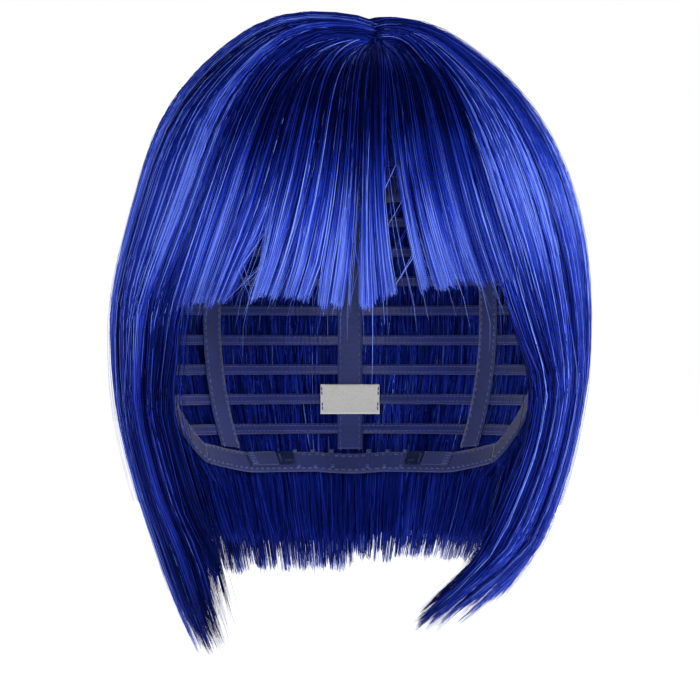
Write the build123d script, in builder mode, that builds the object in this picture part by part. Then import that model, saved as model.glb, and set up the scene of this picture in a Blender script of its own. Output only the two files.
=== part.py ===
from build123d import *
import os
from math import cos, pi, radians, sin, sqrt

# A chin-length bob wig on an open-weft cap, in millimetres.
# The origin is the middle of the head the cap is made for: +X is the wearer's left,
# -Y is the way the wearer faces and +Z is up.

# The head the cap fits: an egg shape given by its half sizes.
head_half_width = 78
head_half_depth = 97
head_half_height = 100

# The layers of the cap, as gaps outwards from the head.
fitting_layer = (0.2, 0.8)
loop_layer = (1.0, 1.5)
ribbon_layer = (1.6, 2.2)
net_layer = (2.3, 2.7)
skin_layer = (2.3, 3.2)
band_layer = (1.6, 2.7)
weft_layer = (2.8, 4.2)
hair_gap = 4.5

# The cap's edge in side view (Y, Z): forehead, temple, ear tab, ear arch, nape.
reach = 140
cap_edge = [
    (-reach, 50),
    (-82, 50),
    (-64, 26),
    (-50, -15),
    (-34, -15),
    (-22, 9),
    (8, 9),
    (40, -58),
    (62, -63),
    (reach, -63),
]
cap_edge_radius = 5
band_width = 9
nape_start = 44
seam = 0.15

# The top of the cap.
net_floor = 46
skin_half_width = 16
skin_half_length = 40
skin_centre = (7, -10)

# The ear tabs.
tab_top = 8
tab_back = -10
tab_middle = -36
stay_width = 3
stay_length = 18
stay_centre = (-40, -3)
stay_layer = (0.8, 1.5)

# The ribbons, by the direction each runs down the head, counted from the wearer's left.
ribbon_width = 10
ribbon_ring_radius = 36
ribbon_directions = {
    "ribbon_side_left": 12,
    "ribbon_back_left": 52,
    "ribbon_back_centre": 90,
    "ribbon_back_right": 128,
    "ribbon_side_right": 168,
}

# The weft rows, top to bottom.
weft_rows = 12
weft_height = 4
weft_top = 86
weft_pitch = 12
weft_edge_gap = 3
weft_front = -66
ear_weft_front = -4

# The size adjusters at the nape. They lie on a cone that follows the nape.
nape_height = -57
nape_radius = 51.5
nape_axis_depth = 28.2
nape_lean = 34
strap_height = 6
strap_from = 34.5
strap_to = 50
hook_direction = 30
hook_length = 8
hook_width = 6
hook_thickness = 0.6
hook_corner = 1.2
hook_slot = (1.2, 4.4)
hook_slot_offset = 2.2
hook_notch = (3.6, 1.2)
hook_notch_centre = (1.4, 0.9)
loop_directions = (24, 16, 8)
loop_width = 2
loop_height = 8.5
loop_corner = 0.8

# The label.
label_width = 24
label_height = 12
label_middle = -34

# The hair: the outside and the inside of its mass, as half sizes.
# Above the origin it follows the crown, and below it hangs as a long closing bell.
hair_half_width = 93
hair_half_depth = 112
hair_crown_height = 114
hair_bell_depth = 162
lining_half_width = head_half_width + hair_gap
lining_half_depth = head_half_depth + hair_gap
lining_crown_height = head_half_height + hair_gap
lining_bell_depth = 150

# How the hair parts into locks that swing, and the slopes of the seams above them.
lock_gap = 0.3
lock_hinge_height = 30
lock_seam_slope = 0.5
fringe_hinge_height = 62
fringe_seam_slope = 1.0
fringe_half_width = 60
fringe_hem = 5
back_start = 70
back_hem = -92
crown_floor = 10
crown_seam_x = 7
crown_seam_y = 15
lock_overlap_height = 40
side_front_edge = [(-76, 5), (-63, -50), (-61, -96)]
side_tip_depth = -46
jaw_half_gap = 24
side_tips = {"side_hair_left": (1, -122), "side_hair_right": (-1, -132)}

# The under-layer of hair at the nape.
nape_hair_half_width = 52
nape_hair_start = 40
nape_hair_top = -66
nape_hair_hem = -92
nape_hair_outside = (84, 99.5, 147)
nape_hair_inside = (80, 96, 136)


everywhere = (-reach, reach)
left_half = (0, reach)
right_half = (-reach, 0)


def egg(half_width, half_depth, half_height):
    """A closed egg-shaped solid about the origin."""
    with BuildPart() as form:
        Sphere(1)
        scale(by=(half_width, half_depth, half_height))
    return form.part


def head_shell(layer):
    """A layer all round the head, from its inner to its outer gap."""
    inner, outer = layer
    with BuildPart() as shell:
        add(egg(head_half_width + outer, head_half_depth + outer, head_half_height + outer))
        add(
            egg(head_half_width + inner, head_half_depth + inner, head_half_height + inner),
            mode=Mode.SUBTRACT,
        )
    return shell.part


def bell_shell(outside, inside):
    """A dome shell on a longer, closing bell shell, from (width, depth, crown, bell) half sizes."""
    halves = []
    for height, floor in ((2, 0), (3, -2 * reach)):
        with BuildPart() as half:
            add(egg(outside[0], outside[1], outside[height]))
            add(egg(inside[0], inside[1], inside[height]), mode=Mode.SUBTRACT)
            add(block(everywhere, everywhere, (floor, floor + 2 * reach)), mode=Mode.INTERSECT)
        halves.append(half.part)
    with BuildPart() as form:
        add(halves)
    return form.part


def side_view_prism(points, from_x, to_x):
    """A side view outline (Y, Z) carried across the head from from_x to to_x."""
    with BuildPart() as prism:
        with BuildSketch(Plane.YZ.offset(from_x)):
            with BuildLine():
                Polyline(*points, close=True)
            make_face()
        extrude(amount=to_x - from_x)
    return prism.part


def front_view_prism(points, from_y, to_y):
    """A front view outline (X, Z) carried through the head from from_y to to_y."""
    with BuildPart() as prism:
        with BuildSketch(Plane.XZ.offset(-to_y)):
            with BuildLine():
                Polyline(*points, close=True)
            make_face()
        extrude(amount=to_y - from_y)
    return prism.part


def block(x_range, y_range, z_range):
    """A box between three ranges."""
    with BuildPart() as box:
        with BuildSketch(Plane.XY.offset(z_range[0])):
            with Locations(((x_range[0] + x_range[1]) / 2, (y_range[0] + y_range[1]) / 2)):
                Rectangle(x_range[1] - x_range[0], y_range[1] - y_range[0])
        extrude(amount=z_range[1] - z_range[0])
    return box.part


def above_cap_edge(inset):
    """Everything above the cap's edge, drawn in from it by inset."""
    with BuildPart() as region:
        with BuildSketch(Plane.YZ):
            with BuildLine():
                FilletPolyline(*cap_edge, radius=cap_edge_radius)
                Polyline(cap_edge[-1], (reach, reach), (-reach, reach), cap_edge[0])
            make_face()
            offset(amount=-inset, kind=Kind.INTERSECTION)
        extrude(amount=reach, both=True)
    return region.part


def half_depth_at(half_depth, half_height, height):
    """How far a dome reaches forwards or back at a height."""
    return half_depth * sqrt(1 - (height / half_height) ** 2)


cap_inside = above_cap_edge(band_width)
os.makedirs("parts", exist_ok=True)

# ---- the cap's binding: one band all round its edge, in pieces that meet at seams ----

with BuildPart() as binding:
    add(head_shell(band_layer))
    with BuildSketch(Plane.YZ):
        with BuildLine():
            FilletPolyline(*cap_edge, radius=cap_edge_radius)
            Polyline(cap_edge[-1], (reach, reach), (-reach, reach), cap_edge[0])
        make_face()
    extrude(amount=reach, both=True, mode=Mode.INTERSECT)

with BuildPart() as ring:
    add(binding.part)
    add(cap_inside, mode=Mode.SUBTRACT)

with BuildPart() as front_band:
    add(ring.part)
    add(block(everywhere, (-reach, tab_middle - seam), (tab_top + seam, reach)), mode=Mode.INTERSECT)
front_band.part.label = "front_band"
export_step(front_band.part, "parts/front_band.step")

with BuildPart() as nape_band:
    add(ring.part)
    add(block(everywhere, (nape_start + seam, reach), everywhere), mode=Mode.INTERSECT)
nape_band.part.label = "nape_band"
export_step(nape_band.part, "parts/nape_band.step")

for side, half in (("left", left_half), ("right", right_half)):
    with BuildPart() as side_band:
        add(ring.part)
        add(block(half, (tab_middle + seam, nape_start - seam), everywhere), mode=Mode.INTERSECT)
        add(block(half, (-reach, tab_back + seam), (-reach, tab_top + seam)), mode=Mode.SUBTRACT)
    side_band.part.label = f"side_band_{side}"
    export_step(side_band.part, f"parts/side_band_{side}.step")

    with BuildPart() as ear_tab:
        add(binding.part)
        add(block(half, (-reach, tab_back - seam), (-reach, tab_top - seam)), mode=Mode.INTERSECT)
    ear_tab.part.label = f"ear_tab_{side}"
    export_step(ear_tab.part, f"parts/ear_tab_{side}.step")

    with BuildPart() as ear_stay:
        add(head_shell(stay_layer))
        with BuildSketch(Plane.YZ):
            with Locations(stay_centre):
                SlotOverall(stay_length, stay_width, rotation=90)
        extrude(amount=reach, both=True, mode=Mode.INTERSECT)
        add(block(half, everywhere, everywhere), mode=Mode.INTERSECT)
    ear_stay.part.label = f"ear_stay_{side}"
    export_step(ear_stay.part, f"parts/ear_stay_{side}.step")

# ---- the closed top: a skin strip under the parting, in a net dome ----

with BuildPart() as skin_top:
    add(head_shell(skin_layer))
    with BuildSketch(Plane.XY):
        with Locations(skin_centre):
            Ellipse(skin_half_width, skin_half_length)
    extrude(amount=reach, mode=Mode.INTERSECT)
skin_top.part.label = "skin_top"
export_step(skin_top.part, "parts/skin_top.step")

with BuildPart() as crown_net:
    add(head_shell(net_layer))
    add(block(everywhere, everywhere, (net_floor, reach)), mode=Mode.INTERSECT)
    add(above_cap_edge(band_width + seam), mode=Mode.INTERSECT)
    with BuildSketch(Plane.XY):
        with Locations(skin_centre):
            Ellipse(skin_half_width + seam, skin_half_length + seam)
    extrude(amount=reach, mode=Mode.SUBTRACT)
crown_net.part.label = "crown_net"
export_step(crown_net.part, "parts/crown_net.step")

# ---- the ribbons that run from the crown down to the binding ----

for name, direction in ribbon_directions.items():
    with BuildPart() as ribbon:
        add(head_shell(ribbon_layer))
        with BuildSketch(Plane.XY.offset(-reach)):
            with Locations(Rotation(0, 0, direction)):
                Rectangle(reach, ribbon_width, align=(Align.MIN, Align.CENTER))
            Circle(ribbon_ring_radius, mode=Mode.SUBTRACT)
        extrude(amount=2 * reach, mode=Mode.INTERSECT)
        add(above_cap_edge(band_width + seam), mode=Mode.INTERSECT)
    ribbon.part.label = name
    export_step(ribbon.part, f"parts/{name}.step")

# ---- the weft rows, sewn one under the other on the net and the ribbons ----

weft_shell = head_shell(weft_layer)
weft_field = above_cap_edge(weft_edge_gap)
for row in range(weft_rows):
    middle = weft_top - row * weft_pitch
    front = -reach if middle > net_floor else weft_front
    if middle < 2 * weft_pitch:
        front = ear_weft_front
    with BuildPart() as weft:
        add(weft_shell)
        add(
            block(
                everywhere,
                (front, reach),
                (middle - weft_height / 2, middle + weft_height / 2),
            ),
            mode=Mode.INTERSECT,
        )
        add(weft_field, mode=Mode.INTERSECT)
    weft.part.label = f"weft_row_{row + 1:02d}"
    export_step(weft.part, f"parts/weft_row_{row + 1:02d}.step")

# ---- the size adjusters inside the nape band ----


def nape_plane(direction, gap):
    """The plane that touches the nape at a direction from the middle, held off it by gap."""
    turn = radians(direction)
    lean = radians(nape_lean)
    outwards = (sin(turn) * cos(lean), cos(turn) * cos(lean), -sin(lean))
    origin = (
        nape_radius * sin(turn) + gap * outwards[0],
        nape_axis_depth + nape_radius * cos(turn) + gap * outwards[1],
        nape_height + gap * outwards[2],
    )
    return Plane(origin=origin, x_dir=(cos(turn), -sin(turn), 0), z_dir=outwards)


def nape_section(direction):
    """The upright plane through the nape cone's axis at a direction from the middle."""
    turn = radians(direction)
    return Plane(
        origin=(0, nape_axis_depth, 0),
        x_dir=(sin(turn), cos(turn), 0),
        z_dir=(cos(turn), -sin(turn), 0),
    )


for side, sign in (("left", 1), ("right", -1)):
    with BuildPart() as adjuster_strap:
        with BuildSketch(nape_section(sign * strap_from)):
            with Locations((nape_radius, nape_height)):
                with Locations(Rotation(0, 0, -nape_lean)):
                    with Locations(((fitting_layer[0] + fitting_layer[1]) / 2, 0)):
                        Rectangle(fitting_layer[1] - fitting_layer[0], strap_height)
        revolve(
            axis=Axis((0, nape_axis_depth, 0), (0, 0, -sign)),
            revolution_arc=strap_to - strap_from,
        )
    adjuster_strap.part.label = f"adjuster_strap_{side}"
    export_step(adjuster_strap.part, f"parts/adjuster_strap_{side}.step")

    with BuildPart() as adjuster_hook:
        with BuildSketch(nape_plane(sign * hook_direction, fitting_layer[0])):
            RectangleRounded(hook_length, hook_width, hook_corner)
            with Locations((sign * hook_slot_offset, 0)):
                Rectangle(*hook_slot, mode=Mode.SUBTRACT)
            with Locations((-sign * hook_notch_centre[0], hook_notch_centre[1])):
                Rectangle(*hook_notch, mode=Mode.SUBTRACT)
        extrude(amount=hook_thickness)
    adjuster_hook.part.label = f"adjuster_hook_{side}"
    export_step(adjuster_hook.part, f"parts/adjuster_hook_{side}.step")

    with BuildPart() as adjuster_loops:
        for direction in loop_directions:
            with BuildSketch(nape_plane(sign * direction, loop_layer[0])):
                RectangleRounded(loop_width, loop_height, loop_corner)
            extrude(amount=loop_layer[1] - loop_layer[0])
    adjuster_loops.part.label = f"adjuster_loops_{side}"
    export_step(adjuster_loops.part, f"parts/adjuster_loops_{side}.step")

with BuildPart() as size_label:
    add(head_shell(fitting_layer))
    add(
        block(
            (-label_width / 2, label_width / 2),
            (0, reach),
            (label_middle - label_height / 2, label_middle + label_height / 2),
        ),
        mode=Mode.INTERSECT,
    )
size_label.part.label = "size_label"
export_step(size_label.part, "parts/size_label.step")

# ---- the hair: the crown, in four pieces that meet at the parting, and the locks below it ----

hair = bell_shell(
    (hair_half_width, hair_half_depth, hair_crown_height, hair_bell_depth),
    (lining_half_width, lining_half_depth, lining_crown_height, lining_bell_depth),
)

side_hinge_x = half_depth_at(hair_half_width, hair_crown_height, lock_hinge_height)
back_hinge_y = half_depth_at(hair_half_depth, hair_crown_height, lock_hinge_height)
fringe_hinge_y = half_depth_at(hair_half_depth, hair_crown_height, fringe_hinge_height)


def side_lock_view(sign, grow):
    """Front view of one side lock: a sloped seam above it, the fringe inside it."""
    inner = fringe_half_width + lock_gap - grow
    seam_drop = lock_seam_slope * (side_hinge_x - inner)
    return [
        (sign * reach, lock_hinge_height + grow),
        (sign * side_hinge_x, lock_hinge_height + grow),
        (sign * inner, lock_hinge_height - seam_drop + grow),
        (sign * inner, fringe_hem - lock_gap),
        (sign * jaw_half_gap, fringe_hem - lock_gap),
        (sign * jaw_half_gap, -reach),
        (sign * reach, -reach),
    ]


def back_lock_view(grow):
    """Side view of the back lock: a sloped seam above it, the side locks in front."""
    start = back_start + lock_gap - grow
    seam_drop = lock_seam_slope * (back_hinge_y - start)
    return [
        (reach, lock_hinge_height + grow),
        (back_hinge_y, lock_hinge_height + grow),
        (start, lock_hinge_height - seam_drop + grow),
        (start, back_hem),
        (reach, back_hem),
    ]


def fringe_view(grow):
    """Side view of the fringe: a sloped seam above it and its cut hem."""
    seam_run = (fringe_hinge_height + grow - fringe_hem) / fringe_seam_slope
    return [
        (-reach, fringe_hinge_height + grow),
        (-fringe_hinge_y, fringe_hinge_height + grow),
        (-fringe_hinge_y + seam_run, fringe_hem),
        (-reach, fringe_hem),
    ]


with BuildPart() as fringe_hair:
    add(hair)
    add(
        side_view_prism(fringe_view(0), -fringe_half_width, fringe_half_width),
        mode=Mode.INTERSECT,
    )
fringe_hair.part.label = "fringe_hair"
export_step(fringe_hair.part, "parts/fringe_hair.step")

for name, (sign, tip_height) in side_tips.items():
    outline = [
        (-reach, lock_overlap_height),
        (-reach, fringe_hem),
        *side_front_edge,
        (side_tip_depth, tip_height),
        (back_start, back_hem),
        (back_start, lock_overlap_height),
    ]
    with BuildPart() as side_hair:
        add(hair)
        add(side_view_prism(outline, -reach, reach), mode=Mode.INTERSECT)
        add(
            front_view_prism(side_lock_view(sign, 0), -reach, reach),
            mode=Mode.INTERSECT,
        )
    side_hair.part.label = name
    export_step(side_hair.part, f"parts/{name}.step")

with BuildPart() as back_hair:
    add(hair)
    add(side_view_prism(back_lock_view(0), -reach, reach), mode=Mode.INTERSECT)
back_hair.part.label = "back_hair"
export_step(back_hair.part, "parts/back_hair.step")

with BuildPart() as crown:
    add(hair)
    add(block(everywhere, everywhere, (crown_floor, reach)), mode=Mode.INTERSECT)
    add(
        side_view_prism(
            fringe_view(lock_gap), -fringe_half_width - lock_gap, fringe_half_width + lock_gap
        ),
        mode=Mode.SUBTRACT,
    )
    for sign in (1, -1):
        add(
            front_view_prism(side_lock_view(sign, lock_gap), -reach, back_start + lock_gap),
            mode=Mode.SUBTRACT,
        )
    add(side_view_prism(back_lock_view(lock_gap), -reach, reach), mode=Mode.SUBTRACT)

crown_sides = {"left": (crown_seam_x + seam, reach), "right": (-reach, crown_seam_x - seam)}
crown_ends = {"front": (-reach, crown_seam_y - seam), "back": (crown_seam_y + seam, reach)}
for side, x_range in crown_sides.items():
    for end, y_range in crown_ends.items():
        with BuildPart() as crown_hair:
            add(crown.part)
            add(block(x_range, y_range, everywhere), mode=Mode.INTERSECT)
        crown_hair.part.label = f"crown_hair_{side}_{end}"
        export_step(crown_hair.part, f"parts/crown_hair_{side}_{end}.step")

with BuildPart() as nape_hair:
    add(egg(*nape_hair_outside))
    add(egg(*nape_hair_inside), mode=Mode.SUBTRACT)
    add(
        block(
            (-nape_hair_half_width, nape_hair_half_width),
            (nape_hair_start, reach),
            (nape_hair_hem, nape_hair_top),
        ),
        mode=Mode.INTERSECT,
    )
nape_hair.part.label = "nape_hair"
export_step(nape_hair.part, "parts/nape_hair.step")

hat_size = pi * (
    3 * (head_half_width + head_half_depth)
    - sqrt(
        (3 * head_half_width + head_half_depth) * (head_half_width + 3 * head_half_depth)
    )
)
print(f"head round the cap: {hat_size:.0f} mm")
print(
    f"hinges: side x {side_hinge_x:.2f}, back y {back_hinge_y:.2f},"
    f" fringe y {-fringe_hinge_y:.2f}"
)
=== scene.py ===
from math import radians

import bpy
import numpy as np
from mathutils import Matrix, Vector


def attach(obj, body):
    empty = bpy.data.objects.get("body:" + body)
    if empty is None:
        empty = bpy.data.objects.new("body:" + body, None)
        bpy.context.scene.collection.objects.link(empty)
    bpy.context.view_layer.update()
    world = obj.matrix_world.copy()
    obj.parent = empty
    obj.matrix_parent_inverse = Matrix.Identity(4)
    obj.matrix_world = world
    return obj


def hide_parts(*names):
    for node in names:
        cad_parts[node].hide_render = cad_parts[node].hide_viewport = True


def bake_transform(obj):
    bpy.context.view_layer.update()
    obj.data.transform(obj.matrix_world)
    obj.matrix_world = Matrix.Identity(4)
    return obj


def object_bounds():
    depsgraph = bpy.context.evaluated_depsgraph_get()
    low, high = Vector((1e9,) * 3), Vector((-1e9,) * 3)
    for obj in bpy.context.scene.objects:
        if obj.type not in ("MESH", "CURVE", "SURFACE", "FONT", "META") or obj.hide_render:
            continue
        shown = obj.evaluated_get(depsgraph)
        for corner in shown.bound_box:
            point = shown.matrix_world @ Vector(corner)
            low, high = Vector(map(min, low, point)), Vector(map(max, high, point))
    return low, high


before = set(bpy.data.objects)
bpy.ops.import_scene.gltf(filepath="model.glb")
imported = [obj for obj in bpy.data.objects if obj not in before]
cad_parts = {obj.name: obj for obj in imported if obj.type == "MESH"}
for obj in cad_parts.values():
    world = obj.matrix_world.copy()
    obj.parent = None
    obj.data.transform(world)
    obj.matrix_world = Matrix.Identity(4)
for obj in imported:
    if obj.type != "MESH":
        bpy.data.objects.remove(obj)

cad_low, cad_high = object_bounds()

# ---- driving sizes, in metres
# The outside of the hair: half width, half depth and height of the crown. The lining is the
# inside of the hair, just off the cap. Below the widest ring the hair hangs as a closing bell.
OUTSIDE = np.array([0.0925, 0.1115, 0.1135])
LINING = np.array([0.0828, 0.1018, 0.1048])
BELL_DEPTH = 0.150
# The crown's roundness (2 is an ellipsoid), how steeply hairs turn down, and their way over it.
ROUNDNESS = 2.2
KNEE = radians(50)
CROWN_RUN = 0.145
# Where the outside is drawn in at the temples.
TEMPLE_HEIGHT = 0.045
TEMPLE_REACH = 0.034

# The parting, in plan, from its front end to its back end.
PART_FRONT = np.array([0.0105, -0.046])
PART_BACK = np.array([0.004, 0.020])

# A strand's half width, and its thickness as a share of it.
HAIR_WIDTH = 0.00016
HAIR_FLATNESS = 0.6
# How far back a deeper layer starts, and how hairs keep together before they spread, by degrees
# from the ring angle at which the fringe hangs straight.
EDGE_LAYERING = 6.5
FAN_HOLD = 0.48
FAN_FADE = 0.007
STRAIGHT_ANGLE = -87
# Tone with painted light: painted shade at the roots and near front edges, a painted highlight over
# the crown and on loose hairs. Shares of hairs with a painted glint and of hairs in painted shadow.
ROOT_SHADE = 0.57
CROWN_SHEEN = 0.20
EDGE_SHADE = 0.38
LOOSE_GLINT = 0.25
GLINT_SHARE = 0.15
DARK_SHARE = 0.16
# How far loose hairs stray round the head, in degrees.
LOOSE_DRIFT = 4

SIDES = (("left", 1), ("right", -1))
rng = np.random.default_rng(20)


# ---- small helpers
def smooth(low, high, value):
    """0 below low, 1 above high, and a soft step between them."""
    t = np.clip((value - low) / (high - low), 0.0, 1.0)
    return t * t * (3 - 2 * t)


def table(points, value):
    """Straight-line interpolation in a short list of (place, value) points."""
    places, values = zip(*sorted(points))
    return np.interp(value, places, values)


def eased(points, value, reach=0.005):
    """The same, with its corners rounded off over a reach on both sides."""
    return sum(table(points, value + reach * off) for off in (-1, -0.5, 0, 0.5, 1)) / 5


def norm(vectors):
    return np.linalg.norm(vectors, axis=-1, keepdims=True)


def unit(vectors):
    return vectors / (norm(vectors) + 1e-12)


def mesh_object(name, points, faces, material):
    """A mesh piece from an array of points and an array of equal-sided faces."""
    mesh = bpy.data.meshes.new(name)
    faces = np.asarray(faces, np.int32)
    sides = faces.shape[1]
    mesh.vertices.add(len(points))
    mesh.vertices.foreach_set("co", np.asarray(points, np.float32).ravel())
    mesh.loops.add(faces.size)
    mesh.loops.foreach_set("vertex_index", faces.ravel())
    mesh.polygons.add(len(faces))
    mesh.polygons.foreach_set("loop_start", np.arange(0, faces.size, sides, dtype=np.int32))
    mesh.update(calc_edges=True)
    mesh.validate()
    mesh.polygons.foreach_set("use_smooth", np.full(len(mesh.polygons), True))
    mesh.materials.append(material)
    piece = bpy.data.objects.new(name, mesh)
    bpy.context.scene.collection.objects.link(piece)
    return piece


# ---- materials
class Nodes:
    """A short way to build a material's nodes."""

    def __init__(self, name):
        self.material = bpy.data.materials.new(name)
        self.material.use_nodes = True
        self.tree = self.material.node_tree
        self.shader = self.tree.nodes["Principled BSDF"]

    def add(self, kind, **values):
        node = self.tree.nodes.new(kind)
        for key, value in values.items():
            if key in node.inputs:
                node.inputs[key].default_value = value
            else:
                setattr(node, key, value)
        return node

    def link(self, source, target):
        self.tree.links.new(source, target)

    def set(self, name, value):
        self.shader.inputs[name].default_value = value

    def noise(self, scale, detail, stretch=(1, 1, 1)):
        place = self.add("ShaderNodeTexCoord")
        mapping = self.add("ShaderNodeMapping")
        mapping.inputs["Scale"].default_value = stretch
        self.link(place.outputs["Object"], mapping.inputs["Vector"])
        texture = self.add("ShaderNodeTexNoise", Scale=scale, Detail=detail)
        self.link(mapping.outputs["Vector"], texture.inputs["Vector"])
        return texture.outputs["Fac"]

    def half_plus(self, first, second):
        """Half of the first value and all of the second."""
        node = self.add("ShaderNodeMath", operation="MULTIPLY_ADD")
        self.link(first, node.inputs[0])
        node.inputs[1].default_value = 0.5
        self.link(second, node.inputs[2])
        return node.outputs[0]

    def ramp(self, factor, stops):
        node = self.add("ShaderNodeValToRGB")
        while len(node.color_ramp.elements) < len(stops):
            node.color_ramp.elements.new(0.5)
        for element, (place, colour) in zip(node.color_ramp.elements, stops):
            element.position = place
            element.color = (*colour, 1)
        self.link(factor, node.inputs["Fac"])
        return node.outputs["Color"]

    def paint(self, factor, stops):
        """The base colour runs through these colours as the factor rises."""
        self.link(self.ramp(factor, stops), self.shader.inputs["Base Color"])

    def emboss(self, height, strength, distance):
        """The surface stands up where the height does."""
        bump = self.add("ShaderNodeBump", Strength=strength, Distance=distance)
        self.link(height, bump.inputs["Height"])
        self.link(bump.outputs["Normal"], self.shader.inputs["Normal"])


# The fibre's blues from dark to pale; the pale end mostly shows painted glints and painted sheen.
DEEP_BLUE = (0.0008, 0.0024, 0.036)
UNDER_BLUE = (0.003, 0.009, 0.110)
ROYAL_BLUE = (0.006, 0.016, 0.240)
BRIGHT_BLUE = (0.020, 0.055, 0.600)
PALE_BLUE = (0.195, 0.305, 0.980)


def fibre_material():
    """Glossy synthetic fibre: a strand's tone is its own colour with painted shade and highlights;
    dark ones shine less.
    """
    nodes = Nodes("blue_fibre")
    tone = nodes.add("ShaderNodeAttribute", attribute_name="tone").outputs["Fac"]
    brightness = nodes.half_plus(nodes.noise(60, 3, (1, 1, 0.12)), tone)
    stops = [(0.15, DEEP_BLUE), (0.50, ROYAL_BLUE), (0.80, BRIGHT_BLUE), (1.0, PALE_BLUE)]
    nodes.paint(brightness, stops)
    nodes.set("Roughness", 0.32)
    gloss = nodes.add("ShaderNodeMapRange")
    nodes.link(brightness, gloss.inputs["Value"])
    for key, value in (("From Min", 0.30), ("From Max", 0.75), ("To Min", 0.03), ("To Max", 0.26)):
        gloss.inputs[key].default_value = value
    nodes.link(gloss.outputs["Result"], nodes.shader.inputs["Specular IOR Level"])
    nodes.set("Specular Tint", (0.30, 0.42, 1.0, 1))
    return nodes.material


def underlayer_material():
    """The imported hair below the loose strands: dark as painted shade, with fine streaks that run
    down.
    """
    nodes = Nodes("blue_underlayer")
    streak = nodes.noise(900, 4, (1, 1, 0.03))
    nodes.paint(streak, [(0.3, DEEP_BLUE), (0.66, UNDER_BLUE)])
    nodes.set("Roughness", 0.6)
    nodes.set("Specular IOR Level", 0.1)
    nodes.emboss(streak, 0.6, 0.0006)
    return nodes.material


# ---- the shape of the hair
def layer_size(depth):
    """Half sizes of the layer of hair at a depth from 0, outside, to 1, the lining."""
    depth = np.asarray(depth)[..., None]
    return OUTSIDE * (1 - depth) + LINING * depth


def on_crown(direction, depth):
    """Points over the crown from unit directions, on the layer at depth."""
    power = (np.abs(direction) ** ROUNDNESS).sum(-1, keepdims=True) ** (1 / ROUNDNESS)
    return direction / power * layer_size(depth)


def unit_above(plan):
    """Unit directions to the crown above plan positions in metres."""
    x, y = plan[..., 0] / OUTSIDE[0], plan[..., 1] / OUTSIDE[1]
    left_over = np.clip(1 - np.abs(x) ** ROUNDNESS - np.abs(y) ** ROUNDNESS, 0.01, 1)
    above = np.stack([x, y, left_over ** (1 / ROUNDNESS)], -1)
    return above / norm(above)


def along_path(end_height):
    """The path parameter at which a hair has come down to a height: 1 is the widest ring."""
    above = 1 - end_height / (2 * OUTSIDE[2] * np.sin(KNEE))
    return np.where(end_height > 0, above, 1 - end_height / CROWN_RUN)


def hair_paths(root, ring, t, depth, closing, shift, slimmer=0.0):
    """Paths over the crown from unit directions root to the ring angle, and down from it.

    t is the path parameter of each step, depth the layer at each step, closing the width left
    by distance below the widest ring, and shift(t, height) turns each step round the head.
    slimmer draws the outside in above the widest ring.
    Returns points and outward directions, (hair, step, 3).
    """
    ring_point = np.stack([np.cos(ring), np.sin(ring), np.zeros(len(ring))], -1)
    knee = ring_point * np.cos(KNEE) + np.array([0, 0, np.sin(KNEE)])
    over = np.clip(t, 0, 1)[..., None]
    way = (
        (1 - over) ** 2 * root[:, None]
        + 2 * over * (1 - over) * knee[:, None]
        + over**2 * ring_point[:, None]
    )
    points = on_crown(way / norm(way), depth)
    temple = np.exp(-(((points[..., 2] - TEMPLE_HEIGHT) / TEMPLE_REACH) ** 2))
    points[..., 0] *= 1 - slimmer * temple * (1 - np.clip(depth, 0, 1))
    drop = np.clip(t - 1, 0, None) * CROWN_RUN
    points[..., :2] *= eased(closing, drop * (1 + 0.035 * depth), 0.008)[..., None]
    points[..., 2] -= drop
    turn = shift(t, points[..., 2])
    size = layer_size(depth)
    x, y = points[..., 0] / size[..., 0], points[..., 1] / size[..., 1]
    points[..., 0] = (x * np.cos(turn) - y * np.sin(turn)) * size[..., 0]
    points[..., 1] = (x * np.sin(turn) + y * np.cos(turn)) * size[..., 1]
    outward = points / size**2
    outward[..., 2] = np.where(drop > 0, -drop / BELL_DEPTH**2, outward[..., 2])
    return points, outward / norm(outward)


def strands(name, groups, material):
    """One piece of closed three-sided hairs, fine at their cut ends.

    groups is a list of (points, outward, tone, width) for hairs with any number of steps.
    """
    all_points, all_faces, all_tones = [], [], []
    base = 0
    for points, outward, tone, width in groups:
        hairs, steps = points.shape[:2]
        tangent = unit(np.gradient(points, axis=1))
        across = unit(np.cross(tangent, outward))
        out = np.cross(across, tangent)
        t = np.linspace(0, 1, steps)
        taper = (1 - 0.7 * smooth(0.88, 1.0, t))[None, :, None] * width[:, None, None]
        rings = []
        for corner in range(3):
            turn = radians(90 + 120 * corner)
            side = across * np.cos(turn) + out * np.sin(turn) * HAIR_FLATNESS
            rings.append(points + side * taper)
        hair = base + np.arange(hairs)[:, None, None] * steps * 3
        step = np.arange(steps - 1)[None, :, None] * 3
        corner = np.arange(3)[None, None, :]
        following = (corner + 1) % 3
        quad = [hair + step + place for place in (corner, following, 3 + following, 3 + corner)]
        quads = np.stack(np.broadcast_arrays(*quad), -1).reshape(-1, 4)
        first = base + np.arange(hairs)[:, None] * steps * 3
        last = first + (steps - 1) * 3
        all_faces += [
            quads[:, [0, 1, 2]],
            quads[:, [0, 2, 3]],
            first + np.array([[2, 1, 0]]),
            last + np.array([[0, 1, 2]]),
        ]
        all_points.append(np.stack(rings, 2).reshape(-1, 3))
        if tone.ndim == 1:
            tone = np.repeat(tone[:, None], steps, 1)
        all_tones.append(np.repeat(tone.ravel(), 3))
        base += hairs * steps * 3
    piece = mesh_object(name, np.concatenate(all_points), np.concatenate(all_faces), material)
    attribute = piece.data.attributes.new("tone", "FLOAT", "POINT")
    attribute.data.foreach_set("value", np.concatenate(all_tones).astype(np.float32))
    return piece


fibre = fibre_material()
under = underlayer_material()
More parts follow.
